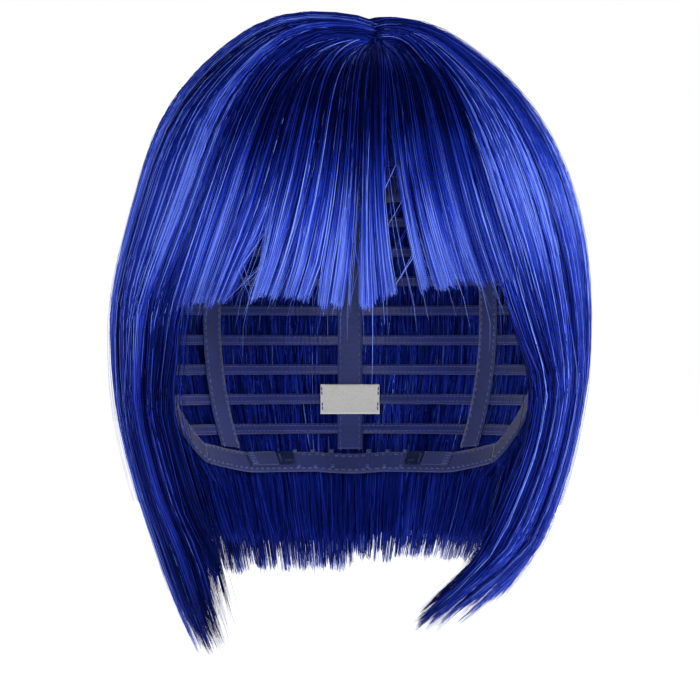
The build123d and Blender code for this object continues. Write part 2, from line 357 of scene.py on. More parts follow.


# ---- how each part is cut
# Each side is worked out as if on the wearer's left, then mirrored. Heights are in metres, angles in
# degrees round the head from the wearer's side, front negative.
#   closing    the width that is left, by distance below the widest ring
#   lobe       where hairs stand up past the roots, over what reach, and how far
#   slimmer    how much the outside is drawn in at the temple
#   curl       the turn of the curtain's middle near its tip
#   edge_from  the angle of the curtain's front edge
#   hem        the height of the cut ends by angle
#   edge       the turn of the front edge by height
#   sheen      painted highlight and painted shade: the tone gained or lost by height
#   ragged     how uneven the cut is
CUTS = {
    "left": {
        "mirror": 1,
        "closing": [(-0.02, 1), (0, 1), (0.020, 0.992), (0.041, 0.953), (0.064, 0.893),
                    (0.087, 0.803), (0.099, 0.735), (0.110, 0.635), (0.122, 0.50)],
        "lobe": (0.19, 0.13, 0.22),
        "slimmer": 0.0,
        "curl": -24,
        "edge_from": -51.5,
        "hem": [(-52, -0.1125), (-44, -0.1125), (-32, -0.1110), (-10, -0.108), (10, -0.104),
                (39, -0.0965)],
        "edge": [(0.02, 0), (0.001, -1), (-0.013, 3.9), (-0.0227, 8.5), (-0.0273, 11.2),
                 (-0.050, 11.3), (-0.069, 7.7), (-0.087, 4.7), (-0.097, 2.6), (-0.106, -2.0),
                 (-0.115, -7.5), (-0.122, -11)],
        "sheen": [(0.070, 0.0), (0.058, 0.13), (0.046, 0.25), (0.034, 0.20), (0.023, 0.11),
                  (0.011, 0.04), (0.0, -0.05), (-0.024, -0.03), (-0.035, -0.06), (-0.047, -0.06),
                  (-0.09, -0.12)],
        "ragged": 1.2,
    },
    "right": {
        "mirror": -1,
        "closing": [(-0.02, 1), (0, 1), (0.020, 0.994), (0.041, 0.965), (0.064, 0.903),
                    (0.087, 0.820), (0.099, 0.778), (0.110, 0.736), (0.124, 0.670), (0.135, 0.60)],
        "lobe": (0.25, 0.15, 0.36),
        "slimmer": 0.052,
        "curl": 0,
        "edge_from": -48.5,
        "hem": [(-49, -0.089), (-45, -0.094), (-40, -0.102), (-34, -0.108), (-28, -0.1135),
                (-22, -0.1175), (-12, -0.1205), (-5, -0.1200), (3, -0.1165), (14, -0.112),
                (39, -0.101)],
        "edge": [(0.02, 0), (0, 0), (-0.013, 1.6), (-0.027, 4.8), (-0.036, 6.8), (-0.050, 5.4),
                 (-0.078, 3.4), (-0.087, -0.9), (-0.0966, -2.0), (-0.115, -1.5), (-0.131, 0)],
        "sheen": [(0.085, 0.0), (0.058, 0.04), (0.034, 0.05), (0.023, 0.08), (0.011, 0.06),
                  (0.0, 0.0), (-0.012, -0.08), (-0.024, -0.16), (-0.047, -0.20), (-0.06, -0.17),
                  (-0.09, -0.30)],
        "ragged": 3.2,
    },
}
# Where the side curtain ends and the back curtain begins, and how uneven the back's cut is.
BACK_FROM = 39
BACK_RAGGED = 0.5


def part_roots(cut, angle):
    """Plan positions on the parting for a side's hairs that fall to these ring angles."""
    share = (angle - cut["edge_from"]) / (90 - cut["edge_from"])
    place = smooth(-0.15, 1.05, share) * 0.92
    plan = PART_FRONT + place[:, None] * (PART_BACK - PART_FRONT)
    plan[:, 0] *= cut["mirror"]
    return plan


def lock_noise(number, scale):
    """One random value for each lock."""
    return rng.normal(0, scale, number)


def hair_tones(total):
    """Each hair's own tone: a spread, with a few hairs that glint and a few in shadow."""
    pick = rng.uniform(0, 1, total)
    own = rng.normal(0, 0.15, total)
    own += np.where(pick < GLINT_SHARE, rng.uniform(0.2, 0.5, total), 0)
    return own - np.where(pick > 1 - DARK_SHARE, rng.uniform(0.15, 0.4, total), 0)


def hair_widths(total, loose):
    """Mostly fine hairs, some that stand for two or three stuck together, and finer loose ones."""
    thick = rng.uniform(0, 1, total) < 0.3
    width = np.where(thick, HAIR_WIDTH * 1.35, HAIR_WIDTH * 0.85) * rng.uniform(0.8, 1.2, total)
    return width * np.where(loose > 0, 0.5, 1)


def loose_share(count, strays):
    """How loose each hair is: 0, but for the strays at the end."""
    loose = np.zeros(count + strays)
    loose[count:] = rng.uniform(0.2, 1, strays)
    return loose


def strand_tones(tone, number, lock, loose):
    """Each hair's tone: the layer's, its lock's and its own, with a painted glint on loose hairs."""
    own = lock_noise(number, 0.045)[lock]
    return tone + own + hair_tones(len(loose)) + LOOSE_GLINT * (loose > 0)


def deal(count, low, high, lock_width):
    """Deals hairs over an arc of the ring, in locks of uneven width. All in degrees."""
    number = max(3, int((high - low) / lock_width))
    edges = np.cumsum(rng.uniform(0.35, 1.65, number + 1))
    edges = low + (high - low) * (edges - edges[0]) / (edges[-1] - edges[0])
    angle = rng.uniform(low, high, count)
    lock = np.clip(np.searchsorted(edges, angle) - 1, 0, number - 1)
    middle = (edges[lock] + edges[lock + 1]) / 2
    return angle, lock, number, angle - middle


def step_places(count, steps, power):
    """Shares of the way along each hair, uneven from hair to hair so no bends line up."""
    even = np.linspace(0, 1, steps)
    uneven = rng.uniform(-0.5, 0.5, (count, 1)) * np.sin(np.pi * even) / (steps - 1)
    return (even + uneven) ** power


def lock_shift(count, lock, number, off_middle, gather, drift, stray):
    """A function that turns hairs round the head: gathered in locks, drifting and waving."""
    lock_gather = np.clip(rng.normal(gather, 0.12, number), 0, 0.75)[lock]
    lock_drift = lock_noise(number, drift)[lock]
    own_drift = rng.normal(0, stray, count)
    own_drift += np.where(rng.uniform(0, 1, count) < 0.2, rng.normal(0, 2.6, count), 0)
    phase = rng.uniform(0, 6.3, (2, count))
    wave = rng.normal(0, 0.16, (2, count)) * (1 + stray)

    def shift(t, height):
        fall = smooth(0.25, 1.6, t)
        degrees = (
            -off_middle[:, None] * lock_gather[:, None] * fall
            + lock_drift[:, None] * fall
            + own_drift[:, None] * fall**1.5
            + wave[0][:, None] * np.sin(5 * t + phase[0][:, None]) * fall
            + wave[1][:, None] * np.sin(13 * t + phase[1][:, None]) * fall * 0.5
        )
        return np.radians(degrees)

    return shift


def fanned(off_front, t):
    """The turn, in degrees, that keeps hairs close to the parting before they spread out.

    off_front is each hair's ring angle measured from the line where hairs hang straight.
    """
    hold = FAN_HOLD - FAN_FADE * np.abs(off_front)
    return -(off_front * hold)[:, None] * np.sin(np.pi * np.clip(t, 0, 1) ** 1.8)


def front_swing(cut, angle):
    """How a curtain turns near its front edge, and how near each hair is to that edge."""
    near = np.clip(1 - (angle - cut["edge_from"]) / 62, 0, 1)
    near_edge = near**2
    edge_fan = (cut["edge_from"] - STRAIGHT_ANGLE) * near_edge

    def swing(t, height):
        degrees = eased(cut["edge"], height) * near_edge[:, None]
        curl = 4 * (near - near_edge)[:, None] * smooth(0.080, 0.119, -height)
        return degrees + cut["curl"] * curl + fanned(edge_fan, t)

    return swing, near_edge


def hair_layer(side, low, high, count, depth, steps, start_height, gather, cut_back, strays, tone):
    """One layer of a curtain: points, outward, tone and width for strands()."""
    cut = CUTS[side]
    total = count + strays
    angle, lock, number, off_middle = deal(total, low, high, 3.6)
    plan = part_roots(cut, angle)
    root = unit_above(plan + rng.normal(0, 0.0007, plan.shape))
    hem = table(cut["hem"], angle) + cut_back
    ragged = cut["ragged"] + (BACK_RAGGED - cut["ragged"]) * smooth(-15, BACK_FROM, angle)
    hem += ragged * (lock_noise(number, 0.0016)[lock] + rng.normal(0, 0.0012, total))
    hem -= ragged * rng.exponential(0.0013, total)
    hem = np.maximum(hem, cad_low.z + rng.uniform(0.001, 0.010, total))
    end = along_path(hem)
    start = np.zeros(total)
    if start_height is not None:
        start = along_path(start_height + rng.uniform(-0.004, 0.004, total))
    t = start[:, None] + (end - start)[:, None] * step_places(total, steps, 1.15)
    loose = loose_share(count, strays)
    own_depth = depth + lock_noise(number, 0.07)[lock] + rng.normal(0, 0.045, total)
    lobe_place, lobe_reach, lobe_rise = cut["lobe"]
    deep = (
        own_depth[:, None]
        + 0.20 * (1 - smooth(0.0, 0.07, t))
        - lobe_rise * np.exp(-(((t - lobe_place) / lobe_reach) ** 2))
        - loose[:, None] * 0.42 * smooth(0.1, 1.6, t) ** 2
    )
    deep = np.clip(deep, -0.55, 1.02)
    locks = lock_shift(total, lock, number, off_middle, gather, 0.7, 0.25 + LOOSE_DRIFT * loose)
    edge_swing, near_edge = front_swing(cut, angle)

    def shift(t, height):
        return locks(t, height) + np.radians(edge_swing(t, height))

    ring = np.radians(angle)
    points, outward = hair_paths(root, ring, t, deep, cut["closing"], shift, cut["slimmer"])
    height = points[..., 2]
    points[..., 0] *= cut["mirror"]
    outward[..., 0] *= cut["mirror"]
    tones = strand_tones(tone, number, lock, loose)
    # Painted light: shade at the roots, the side's painted sheen and shade by height, a painted
    # highlight over the crown and painted shade near the curtain's front edge.
    tones = tones[:, None] - ROOT_SHADE * (1 - smooth(0.02, 0.75, t))
    tones += eased(cut["sheen"], height, 0.008) * (1 - smooth(20, 80, angle))[:, None]
    tones += CROWN_SHEEN * smooth(0.090, 0.105, height)
    tones -= EDGE_SHADE * near_edge[:, None] ** 1.5 * smooth(-0.038, 0.004, -height)
    return points, outward, tones, hair_widths(total, loose)


# ---- the cap
# The head that the cap fits, as half sizes, and each part's inner and outer gap from it.
HEAD = np.array([0.078, 0.097, 0.100])
RIBBON_LAYER = (0.0016, 0.0022)
NET_LAYER = (0.0023, 0.0027)
SKIN_LAYER = (0.0023, 0.0032)
BAND_LAYER = (0.0016, 0.0027)
WEFT_LAYER = (0.0029, 0.0040)
LABEL_LAYER = (0.00030, 0.00062)
# A stitch's length and half thickness, and the spacing of stitches.
STITCH_SIZE = (0.0018, 0.00032)
STITCH_PITCH = 0.0027

# The cap's edge in side view (Y, Z), from the forehead back to the nape.
CAP_EDGE = np.array([
    (-0.0871, 0.050), (-0.082, 0.050), (-0.064, 0.026), (-0.050, -0.015), (-0.034, -0.015),
    (-0.022, 0.009), (0.008, 0.009), (0.040, -0.058), (0.062, -0.063), (0.0772, -0.063),
])
TAB_TOP = 0.0078
BAND_WIDTH = 0.009


def snap(points, gap):
    """Points moved straight out or in to a gap from the head."""
    size = HEAD + np.asarray(gap)[..., None]
    return points / np.sqrt(((points / size) ** 2).sum(-1, keepdims=True))


def resample(line, spacing):
    """Points evenly spaced along a line."""
    step = np.linalg.norm(np.diff(line, axis=0), axis=1)
    length = np.concatenate([[0], np.cumsum(step)])
    count = max(3, int(round(length[-1] / spacing)) + 1)
    wanted = np.linspace(0, length[-1], count)
    return np.stack([np.interp(wanted, length, line[:, axis]) for axis in range(3)], -1)


def round_corners(line, times=3):
    """Cuts the corners off an open line until it is smooth."""
    for _ in range(times):
        quarter = line[:-1] * 0.75 + line[1:] * 0.25
        three_quarters = line[:-1] * 0.25 + line[1:] * 0.75
        inner = np.stack([quarter, three_quarters], 1).reshape(-1, line.shape[1])
        line = np.concatenate([line[:1], inner, line[-1:]])
    return line


def side_outline(first_y, last_y):
    """The cap's edge on the wearer's left between two depths, as points on the head."""
    dense = []
    for start, end in zip(CAP_EDGE[:-1], CAP_EDGE[1:]):
        dense.append(start + (end - start) * np.linspace(0, 1, 4)[:-1, None])
    edge = round_corners(np.concatenate([*dense, CAP_EDGE[-1:]]))
    keep = (edge[:, 0] >= first_y) & (edge[:, 0] <= last_y)
    edge = edge[keep]
    size = HEAD + BAND_LAYER[1]
    left_over = 1 - (edge[:, 0] / size[1]) ** 2 - (edge[:, 1] / size[2]) ** 2
    x = size[0] * np.sqrt(np.clip(left_over, 0, 1))
    return np.column_stack([x, edge])


def level_arc(height, from_y, to_y, gap):
    """A level line round the wearer's left of the head, from one depth to another."""
    size = HEAD + gap
    scale = np.sqrt(1 - (height / size[2]) ** 2)
    ends = np.arcsin(np.clip(np.array([from_y, to_y]) / (size[1] * scale), -1, 1))
    angle = np.linspace(ends[0], ends[1], 60)
    return np.column_stack([
        size[0] * scale * np.cos(angle), size[1] * scale * np.sin(angle), np.full(60, height)
    ])


def level_points(half_width, half_depth, angle, wide, height):
    """Points round the head at an angle, where wide is the level's share of the full size."""
    x, y = half_width * np.cos(angle) * wide, half_depth * np.sin(angle) * wide
    return np.stack([x, y, height], -1)


def across_head(half):
    """A line on the wearer's left carried on, mirrored, to the right: it starts at the middle."""
    mirrored = half[::-1] * np.array([-1, 1, 1])
    return np.concatenate([mirrored, half[1:]])


def slab(name, inner, outer, material, ring=False):
    """A closed sheet between two grids of points (column, row, 3); ring joins its ends."""
    columns, rows = inner.shape[:2]
    index = np.arange(columns * rows).reshape(columns, rows)
    if ring:
        index = np.concatenate([index, index[:1]])
    below = index + columns * rows

    def rim(a, b):
        return np.stack([a[:-1], a[1:], b[1:], b[:-1]], -1).reshape(-1, 4)

    top = np.stack([index[:-1, :-1], index[:-1, 1:], index[1:, 1:], index[1:, :-1]], -1)
    top = top.reshape(-1, 4)
    faces = [
        top,
        top[:, ::-1] + columns * rows,
        rim(index[:, 0], below[:, 0]),
        rim(below[:, -1], index[:, -1]),
    ]
    if not ring:
        faces += [rim(below[0], index[0]), rim(index[-1], below[-1])]
    faces = np.concatenate(faces)
    points = np.concatenate([outer.reshape(-1, 3), inner.reshape(-1, 3)])
    piece = mesh_object(name, points, faces, material)
    return piece


def strip_grid(line, low, high, rows):
    """A grid of points beside a line on the head, from low to high towards the crown."""
    tangent = unit(np.gradient(line, axis=0))
    normal = unit(line / HEAD**2)
    inward = unit(np.cross(normal, tangent))
    inward *= np.sign(inward[:, 2].mean())
    return line[:, None] + inward[:, None] * np.linspace(low, high, rows)[None, :, None]


def cloth(name, grid, layer, material, slot, *reliefs):
    """A closed sheet over a grid on the head; the reliefs groove the side that faces it."""
    return slab(name, snap(grid, sum(reliefs, layer[0])), snap(grid, layer[1]), material)


def tape(name, line, low, high, layer, material, slot, relief):
    """A woven tape along a line: relief(column, row) grooves the side that faces the head."""
    rows = 9
    grid = strip_grid(line, low, high, rows)
    column = np.arange(len(line))[:, None]
    row = np.arange(rows)[None, :]
    rolled = 0.00018 * (np.abs(row / (rows - 1) * 2 - 1) ** 6)
    inner = snap(grid, layer[0] + rolled + relief(column, row))
    return slab(name, inner, snap(grid, layer[1] - rolled), material)


def ribbed(column, row):
    """Fine ribs across a tape."""
    return 0.00013 * (column % 2) * np.ones_like(row)


def corded(column, row):
    """Cords along a tape, as in woven elastic, pinched across here and there."""
    return 0.00016 * (row % 2) + 0.00004 * (column % 3)


class Stitches:
    """Gathers short stitches into one mesh piece."""

    def __init__(self):
        self.points = []
        self.faces = []
        self.count = 0

    def add(self, centre, along, normal, size=STITCH_SIZE):
        """Stitches centred on points, each a spindle along its own direction."""
        across = unit(np.cross(normal, along))
        length, thick = size
        rings = [centre - along * length / 2]
        for place in (-0.3, 0.3):
            for corner in range(4):
                turn = radians(45 + 90 * corner)
                offset = across * np.cos(turn) + normal * np.sin(turn)
                rings.append(centre + along * (length * place) + offset * thick)
        rings.append(centre + along * length / 2)
        pattern = []
        for corner in range(4):
            following = (corner + 1) % 4
            pattern += [
                (0, 1 + following, 1 + corner),
                (1 + corner, 1 + following, 5 + following),
                (1 + corner, 5 + following, 5 + corner),
                (9, 5 + corner, 5 + following),
            ]
        stitch = np.arange(len(centre))[:, None, None] * 10
        self.points.append(np.stack(rings, 1).reshape(-1, 3))
        self.faces.append((np.array(pattern)[None] + stitch + self.count).reshape(-1, 3))
        self.count += len(centre) * 10

    def seam(self, line, pitch=STITCH_PITCH, size=STITCH_SIZE):
        """A row of stitches along a line on the head."""
        places = resample(line, pitch)
        self.add(places, unit(np.gradient(places, axis=0)), unit(places / HEAD**2), size)

    def along_line(self, line, offset, gap, pitch=STITCH_PITCH, size=STITCH_SIZE):
        """A row of stitches beside a line, offset towards the crown, at a gap from the head."""
        self.seam(snap(strip_grid(line, offset, offset + 0.001, 2)[:, 0], gap), pitch, size)

    def piece(self, name, material, slot):
        piece = mesh_object(name, np.concatenate(self.points), np.concatenate(self.faces), material)
        return piece


def tape_material(name, dark, light, roughness=0.8):
    """Woven tape or elastic: fine threads of two tones, with a soft sheen."""
    nodes = Nodes(name)
    weave = nodes.noise(2600, 2)
    nodes.paint(nodes.half_plus(nodes.noise(70, 3), weave), [(0.45, dark), (0.95, light)])
    nodes.set("Roughness", roughness)
    nodes.set("Sheen Weight", 0.25)
    nodes.emboss(weave, 0.5, 0.0002)
    return nodes.material


def plastic_material(name, dark, light, roughness):
    """Moulded plastic with faint flow marks."""
    nodes = Nodes(name)
    cloud = nodes.noise(240, 3)
    nodes.paint(cloud, [(0.35, dark), (0.7, light)])
    grain = nodes.ramp(cloud, [(0.3, (roughness * 0.8,) * 3), (0.7, (roughness * 1.2,) * 3)])
    nodes.link(grain, nodes.shader.inputs["Roughness"])
    nodes.emboss(nodes.noise(1500, 2), 0.2, 0.0001)
    return nodes.material


band_cloth = tape_material("band_cloth", (0.004, 0.008, 0.055), (0.016, 0.028, 0.16))
elastic = tape_material("woven_elastic", (0.006, 0.011, 0.075), (0.022, 0.038, 0.20), 0.7)
net_cloth = tape_material("fine_net", (0.0015, 0.003, 0.022), (0.006, 0.010, 0.065), 0.9)
skin_cloth = tape_material("skin_strip", (0.008, 0.014, 0.085), (0.016, 0.026, 0.14), 0.6)
weft_cloth = tape_material("weft_track", (0.003, 0.007, 0.060), (0.012, 0.026, 0.22), 0.5)
net_thread = tape_material("net_thread", (0.006, 0.011, 0.08), (0.016, 0.028, 0.17), 0.6)
thread = tape_material("sewing_thread", (0.020, 0.035, 0.20), (0.060, 0.090, 0.36), 0.5)
satin = tape_material("label_satin", (0.62, 0.61, 0.58), (0.80, 0.79, 0.76), 0.4)
hook_plastic = plastic_material("hook_plastic", (0.010, 0.016, 0.05), (0.022, 0.032, 0.09), 0.25)
stay_plastic = plastic_material("stay_plastic", (0.40, 0.43, 0.48), (0.55, 0.58, 0.62), 0.35)

cap_stitches = Stitches()


def ride(piece, *nodes, body="cap"):
    """The piece moves with the body and stands for these solids."""
    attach(piece, body)
    if nodes:
        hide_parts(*nodes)
    return piece


def make_bands():
    """The binding: one tape over the forehead, one on each side, one round the nape."""
    front = resample(across_head(side_outline(-0.1, -0.0579)), 0.0009)
    nape = resample(across_head(side_outline(0.0441, 0.1)[::-1]), 0.0009)
    band = (0, BAND_WIDTH, BAND_LAYER)
    ride(tape("front_binding", front, *band, band_cloth, "band", ribbed), "front_band")
    ride(tape("nape_binding", nape, *band, elastic, "elastic", corded), "nape_band")
    lines = [front, nape]
    for side, sign in SIDES:
        line = resample(side_outline(-0.0226, 0.0438) * np.array([sign, 1, 1]), 0.0009)
        piece = tape(f"side_binding_{side}", line, *band, band_cloth, "band", ribbed)
        ride(piece, f"side_band_{side}")
        lines.append(line)
    for line in lines:
        cap_stitches.along_line(line, 0.0012, BAND_LAYER[0])
        cap_stitches.along_line(line, BAND_WIDTH - 0.0012, BAND_LAYER[0])


def make_ribbons():
    """The elastic ribbons that run down from the crown."""
    for name, direction, bottom in (
        ("ribbon_side_left", 12, 0.008), ("ribbon_back_left", 52, -0.0525),
        ("ribbon_back_centre", 90, -0.054), ("ribbon_back_right", 128, -0.0525),
        ("ribbon_side_right", 168, 0.008),
    ):
        turn = radians(direction)
        middle = np.array([np.cos(turn), np.sin(turn), 0])
        size = HEAD + RIBBON_LAYER[1]
        reach = 1 / np.sqrt((middle[0] / size[0]) ** 2 + (middle[1] / size[1]) ** 2)
        top = np.arccos(0.0365 / reach)
        low = np.arcsin(bottom / size[2])
        rise = np.linspace(top, low, 200)[:, None]
        line = middle * reach * np.cos(rise) + np.array([0, 0, size[2]]) * np.sin(rise)
        line = resample(line, 0.0008)
        across = np.array([-middle[1], middle[0], 0])
        rows = 9
        grid = line[:, None] + across * np.linspace(-0.005, 0.005, rows)[None, :, None]
        cords = corded(np.arange(len(line))[:, None], np.arange(rows)[None, :])
        ride(cloth(f"elastic_{name}", grid, RIBBON_LAYER, elastic, "elastic", cords), name)
        for edge in (-0.0038, 0.0038):
            cap_stitches.seam(snap(line + across * edge, RIBBON_LAYER[0]))


def edge_height(y):
    """The height of the cap's edge at a depth."""
    return np.interp(y, CAP_EDGE[:, 0], CAP_EDGE[:, 1])


# The rows of hair track, from the highest down to the nape.
WEFT_COUNT = 12
WEFT_TOP = 0.086
WEFT_SPACING = 0.012


def make_wefts():
    """The rows of hair track, their lock stitches, and the short hair hanging from each."""
    rows = 7
    hairs = []
    for number in range(WEFT_COUNT):
        height = WEFT_TOP - WEFT_SPACING * number
        whole = height > 0.046
        front = -0.096 if whole else (-0.066 if height > 0.024 else -0.004)
        half = level_arc(height, front, 0.2, WEFT_LAYER[1])
        clear = edge_height(half[:, 1]) + 0.003 < height - 0.002
        half = half[clear]
        line = resample(across_head(half[::-1]), 0.0006)
        grid = strip_grid(line, -0.002, 0.002, rows)
        column, row = np.arange(len(line))[:, None], np.arange(rows)[None, :]
        bundles = 0.00022 * (column % 3 == 0) * (0.4 + np.abs(row / 3 - 1) * 0.6)
        uneven = rng.normal(0, 0.00004, len(line))[:, None]
        name = f"weft_track_{number + 1:02d}"
        track = cloth(name, grid, WEFT_LAYER, weft_cloth, "weft", bundles, uneven)
        ride(track, f"weft_row_{number + 1:02d}")
        for offset in (-0.0011, 0.0011):
            gap = WEFT_LAYER[0] - 0.00005
            cap_stitches.along_line(line, offset, gap, 0.0019, (0.0017, 0.00022))
        count = int(len(line) * 1.15)
        place = rng.uniform(0, len(line) - 1.01, count)
        low = place.astype(int)
        root = line[low] + (line[low + 1] - line[low]) * (place - low)[:, None]
        fall = rng.uniform(0.013, 0.022, count)
        drop = np.linspace(0.001, 1, 5)[None, :] * fall[:, None]
        size = HEAD + 0.0043
        level = np.clip(root[:, 2, None] - drop, -0.095, 0.099)
        wide = np.sqrt(1 - (level / size[2]) ** 2)
        angle = np.arctan2(root[:, 1] / size[1], root[:, 0] / size[0])
        angle = angle[:, None] + rng.normal(0, 0.016, (count, 1)) * np.linspace(0, 1, 5)[None]
        points = level_points(size[0], size[1], angle, wide, level)
        outward = unit(points / size**2)
        # Darker than the outer hair: painted shade inside the cap.
        tone = 0.22 + rng.normal(0, 0.15, count)
        hairs.append((points, outward, tone, np.full(count, 0.00024)))
    ride(strands("weft_hair", hairs, fibre))


SKIN_CENTRE = np.array([0.007, -0.010])
SKIN_HALF = np.array([0.016, 0.040])


def lift(plan, gap):
    """Points on the upper head above plan positions, at a gap from it."""
    size = HEAD + np.asarray(gap)[..., None]
    left_over = 1 - ((plan / size[..., :2]) ** 2).sum(-1)
    height = size[..., 2] * np.sqrt(np.clip(left_over, 0, 1))
    return np.concatenate([plan, height[..., None]], -1)


def net_rim(direction):
    """How far the net reaches from the middle of the skin strip, by direction."""
    reach = np.linspace(0.03, 0.10, 400)[:, None, None]
    plan = SKIN_CENTRE + reach * direction
    inside = ((plan / (HEAD[:2] + NET_LAYER[1])) ** 2).sum(-1) < 1
    points = lift(plan, NET_LAYER[1])
    floor = np.maximum(0.046, edge_height(points[..., 1]) + BAND_WIDTH)
    inside &= points[..., 2] > floor
    count = inside.sum(0)
    return reach[np.maximum(count - 1, 0), 0, 0]


def net_plan(angle, share):
    """Plan positions on the net: share runs from the skin strip's edge to the net's rim."""
    direction = np.stack([np.cos(angle), np.sin(angle)], -1)
    rim = SKIN_CENTRE + net_rim(direction)[:, None] * direction
    oval = SKIN_CENTRE + direction / np.sqrt(((direction / SKIN_HALF) ** 2).sum(-1, keepdims=True))
    return oval[:, None] + (rim - oval)[:, None] * share[..., None]


def make_top():
    """The net dome with its knotted threads, and the skin strip sewn into it."""
    angle = np.linspace(0, 2 * np.pi, 181)[:-1]
    share = np.broadcast_to(np.linspace(0.005, 1, 22), (180, 22))
    plan = net_plan(angle, share)
    net = slab("net_dome", lift(plan, 0.0025), lift(plan, NET_LAYER[1]), net_cloth, True)
    ride(net, "crown_net")
    lines = []
    for twist in (-0.42, 0.42):
        start = np.linspace(0, 2 * np.pi, 97)[:-1]
        share = np.linspace(0.01, 0.995, 15)
        steps = [net_plan(start + twist * at, np.full((96, 1), at))[:, 0] for at in share]
        points = lift(np.stack(steps, 1), 0.00245)
        lines.append((points, unit(points / HEAD**2), np.full(96, 0.5), np.full(96, 0.00030)))
    threads = strands("net_dome_threads", lines, net_thread)
    ride(threads)
    across, along = np.meshgrid(np.linspace(-1, 1, 25), np.linspace(-1, 1, 49), indexing="ij")
    disc = np.stack([across * np.sqrt(1 - along**2 / 2), along * np.sqrt(1 - across**2 / 2)], -1)
    plan = SKIN_CENTRE + disc * SKIN_HALF
    pores = rng.normal(0, 0.00003, across.shape)
    inner, outer = lift(plan, SKIN_LAYER[0] + pores), lift(plan, SKIN_LAYER[1] - 0.0004)
    skin = slab("skin_strip", inner, outer, skin_cloth)
    ride(skin, "skin_top")
    turn = np.linspace(0, 2 * np.pi, 80)
    rim = SKIN_CENTRE + SKIN_HALF * 0.96 * np.stack([np.cos(turn), np.sin(turn)], -1)
    cap_stitches.seam(lift(rim, SKIN_LAYER[0]))


def make_tabs():
    """The cloth ear tabs, bound and stitched round their lower edge."""
    outline = side_outline(-0.0579, -0.0226)
    for side, sign in SIDES:
        line = resample(outline, 0.0008)
        share = np.linspace(0, 1, 20)[None, :]
        low = np.minimum(line[:, 2:3], TAB_TOP - 0.0003)
        height = low + (TAB_TOP - low) * share
        depth = np.broadcast_to(line[:, 1:2], height.shape)
        size = HEAD + BAND_LAYER[1]
        left_over = 1 - (depth / size[1]) ** 2 - (height / size[2]) ** 2
        grid = np.stack([sign * size[0] * np.sqrt(left_over), depth, height], -1)
        rim = 0.0002 * smooth(0.0022, 0.0028, height - low)
        velvet = rng.normal(0, 0.00003, height.shape)
        tab = cloth(f"tab_cloth_{side}", grid, BAND_LAYER, band_cloth, "tab", rim, velvet)
        ride(tab, f"ear_tab_{side}", body=f"tab_{side}")
        stitches = Stitches()
        seam_line = line * np.array([sign, 1, 1])
        for offset in (0.0012, 0.0030):
            stitches.along_line(seam_line[3:-3], offset, BAND_LAYER[0])
        ride(stitches.piece(f"tab_stitches_{side}", thread, "tab"), body=f"tab_{side}")


# The nape is part of a cone: its radius, where its middle stands, and how it leans in.
NAPE_RADIUS = 0.0515
NAPE_DEPTH = 0.0282
NAPE_HEIGHT = -0.057
NAPE_LEAN = radians(34)


def nape_point(direction, rise, gap):
    """A point on the nape's cone: direction in degrees from the middle, rise up the cone."""
    turn, rise, gap = np.broadcast_arrays(np.radians(direction), rise, gap)
    radius = NAPE_RADIUS + gap * np.cos(NAPE_LEAN) + rise * np.sin(NAPE_LEAN)
    height = NAPE_HEIGHT + rise * np.cos(NAPE_LEAN) - gap * np.sin(NAPE_LEAN)
    return np.stack([np.sin(turn) * radius, np.cos(turn) * radius + NAPE_DEPTH, height], -1)


def nape_tape(name, start, end, half_height, low_gap, high_gap, arch=0.0, steps=None):
    """A short elastic tape on the nape's cone."""
    steps = steps or max(6, int(abs(end - start) * 2.2))
    direction = np.linspace(start, end, steps)[:, None]
    rise = np.linspace(-half_height, half_height, 13)[None, :]
    bow = arch * (1 - (rise / half_height) ** 2)
    rib = 0.00010 * (np.arange(13)[None, :] % 2) + 0.00004 * (np.arange(steps)[:, None] % 2)
    inner = nape_point(direction, rise, low_gap + rib - bow)
    outer = nape_point(direction, rise, high_gap - bow)
    return slab(name, inner, outer, elastic)


def make_adjusters():
    """The size adjusters: an elastic strap that runs to a hook, and the loops it hooks on to."""
    for side, sign in SIDES:
        strap = nape_tape(f"strap_elastic_{side}", sign * 34.6, sign * 50, 0.003, 0.0002, 0.0008)
        tuple(nape_point(sign * 48.5, 0, 0))
        tuple(nape_point(sign * 35.5, 0, 0))
        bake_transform(strap)
        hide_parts(f"adjuster_strap_{side}")
        name = f"adjuster_keeper_{side}"
        keeper = nape_tape(name, sign * 31.6, sign * 37, 0.0021, 0.00085, 0.00095)
        ride(keeper, body=f"hook_{side}")
        for number, direction in enumerate((24, 16, 8)):
            half = 1.06
            loop = nape_tape(f"adjuster_loop_{side}_{number + 1}", sign * (direction - half),
                             sign * (direction + half), 0.00425, 0.00125, 0.0015, 0.0001, 6)
            ride(loop, f"adjuster_loops_{side}")
            for rise in (-0.0036, 0.0036):
                places = nape_point(sign * (direction + np.array([-0.5, 0, 0.5])), rise, 0.0012)
                upright = np.tile(nape_point(0, 0.001, 0) - nape_point(0, 0, 0), (3, 1))
                cap_stitches.add(places, unit(upright), unit(places / HEAD**2))
        for direction in (47.5, 49.2):
            places = nape_point(sign * direction, np.linspace(-0.0024, 0.0024, 5), 0.0002)
            ahead, here = (nape_point(sign * at, 0, 0) for at in (direction + 1, direction))
            cap_stitches.add(places, np.tile(unit(ahead - here), (5, 1)), unit(places / HEAD**2))


